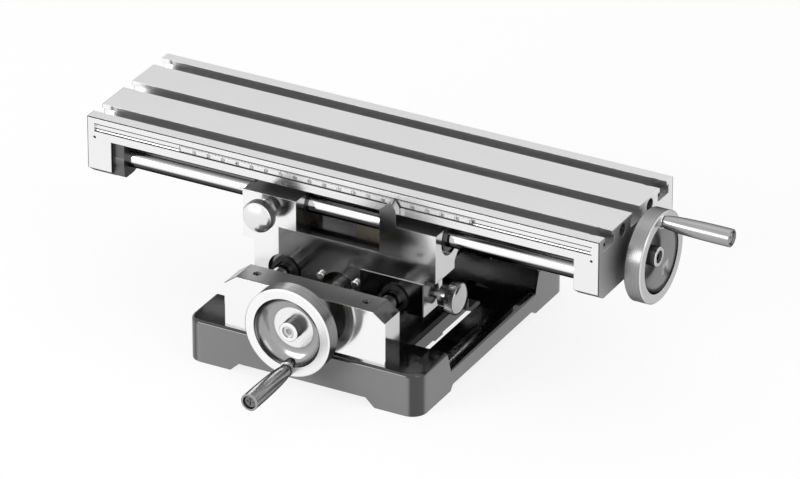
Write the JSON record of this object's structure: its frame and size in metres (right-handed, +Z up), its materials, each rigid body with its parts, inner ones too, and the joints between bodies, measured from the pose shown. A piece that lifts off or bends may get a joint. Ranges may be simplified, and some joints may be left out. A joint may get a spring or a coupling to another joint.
{
  "type": "cross slide table",
  "caption": "Compound cross slide table: T-slotted work table on round guide rods over a saddle and black base, each axis fed by a handwheel and lead screw, with knurled lock knobs.",
  "frame": {"origin": "in the plane of the base's feet, midway between the two hold-down slots", "axes": "+X along the work table towards the X handwheel, +Y from the front handwheel to the back, +Z up"},
  "size_m": [0.4133, 0.255, 0.1201],
  "materials": {
    "base_enamel": "gloss black enamel",
    "milled_aluminium": "satin, fly cut",
    "polished_aluminium": "bright polished",
    "rod_chrome": "ground and chromed",
    "turned_steel": "bright turned",
    "thread_steel": "rolled thread",
    "black_steel": "black oxide",
    "bronze": "oiled bearing bronze",
    "black_polymer": "dull black bearing polymer",
    "ruler_plate": "anodised, engraved"
  },
  "bodies": {
    "base": {"base_casting": "base_enamel", "front_rod_bridge": "polished_aluminium", "rear_rod_bridge": "polished_aluminium", "bridge_screws": "black_steel", "y_guide_rod_left": "rod_chrome", "y_guide_rod_right": "rod_chrome", "rod_set_screws": "black_steel", "y_screw_bush_front": "bronze", "y_screw_bush_rear": "bronze"},
    "saddle": {"saddle_casting": "polished_aluminium", "clamp_block": "polished_aluminium", "clamp_block_screws": "black_steel", "y_rod_bushes": "black_polymer", "x_rod_bushes": "black_polymer", "y_feed_nut": "bronze", "y_nut_screws": "turned_steel", "x_feed_nut": "bronze", "x_nut_screws": "black_steel"},
    "table": {"table_casting": "milled_aluminium", "x_guide_rod_front": "rod_chrome", "x_guide_rod_rear": "rod_chrome", "rod_clamp_screws": "black_steel", "ruler_strip": "ruler_plate", "rail_pins": "turned_steel", "x_screw_bush_left": "bronze", "x_screw_bush_right": "bronze"},
    "y_screw": {"y_lead_screw": "thread_steel", "y_thrust_collar": "turned_steel", "y_collar_screw": "black_steel", "y_handwheel": "turned_steel", "y_wheel_screw": "turned_steel", "y_handle_spindle": "turned_steel"},
    "y_handle": {"y_handle_grip": "rod_chrome"},
    "x_screw": {"x_lead_screw": "thread_steel", "x_thrust_collar": "turned_steel", "x_collar_screw": "black_steel", "x_handwheel": "turned_steel", "x_wheel_screw": "turned_steel", "x_handle_spindle": "turned_steel"},
    "x_handle": {"x_handle_grip": "rod_chrome"},
    "x_lock_pad": {"x_lock_pad": "bronze"},
    "x_lock_knob": {"x_lock_knob": "turned_steel"},
    "y_lock_pad": {"y_lock_pad": "bronze"},
    "y_lock_knob": {"y_lock_knob": "turned_steel"}
  },
  "joints": [
    {"name": "y_slide", "type": "slide", "parent": "base", "child": "saddle", "axis": [0, 1, 0], "range_m": [-0.021, 0.011]},
    {"name": "x_slide", "type": "slide", "parent": "saddle", "child": "table", "axis": [1, 0, 0], "range_m": [-0.077, 0.083]},
    {"name": "y_screw_turn", "type": "hinge", "parent": "base", "child": "y_screw", "pos_m": [0, -0.1, 0.0465], "axis": [0, 1, 0], "range_deg": [-3790, 1990]},
    {"name": "x_screw_turn", "type": "hinge", "parent": "table", "child": "x_screw", "pos_m": [0.17, 0.003, 0.09], "axis": [1, 0, 0], "range_deg": [-13870, 14950]},
    {"name": "y_handle_spin", "type": "hinge", "parent": "y_screw", "child": "y_handle", "pos_m": [0, -0.14, 0.022], "axis": [0, 1, 0], "continuous": true},
    {"name": "x_handle_spin", "type": "hinge", "parent": "x_screw", "child": "x_handle", "pos_m": [0.21, 0.003, 0.1145], "axis": [1, 0, 0], "continuous": true},
    {"name": "x_lock_advance", "type": "slide", "parent": "saddle", "child": "x_lock_pad", "axis": [0, 1, 0], "range_m": [-0.0007, 0.0003]},
    {"name": "x_lock_turn", "type": "hinge", "parent": "x_lock_pad", "child": "x_lock_knob", "pos_m": [-0.048, -0.0515, 0.0895], "axis": [0, 1, 0], "range_deg": [-255, 111]},
    {"name": "y_lock_advance", "type": "slide", "parent": "saddle", "child": "y_lock_pad", "axis": [-1, 0, 0], "range_m": [-0.0007, 0.0003]},
    {"name": "y_lock_turn", "type": "hinge", "parent": "y_lock_pad", "child": "y_lock_knob", "pos_m": [0.0578, -0.033, 0.049], "axis": [-1, 0, 0], "range_deg": [-255, 111]}
  ],
  "couplings": [
    {"joint": "y_screw_turn", "follows": "y_slide", "rad_per_m": 3141.6},
    {"joint": "x_screw_turn", "follows": "x_slide", "rad_per_m": 3141.6},
    {"joint": "x_lock_turn", "follows": "x_lock_advance", "rad_per_m": 6283.2},
    {"joint": "y_lock_turn", "follows": "y_lock_advance", "rad_per_m": 6283.2}
  ]
}
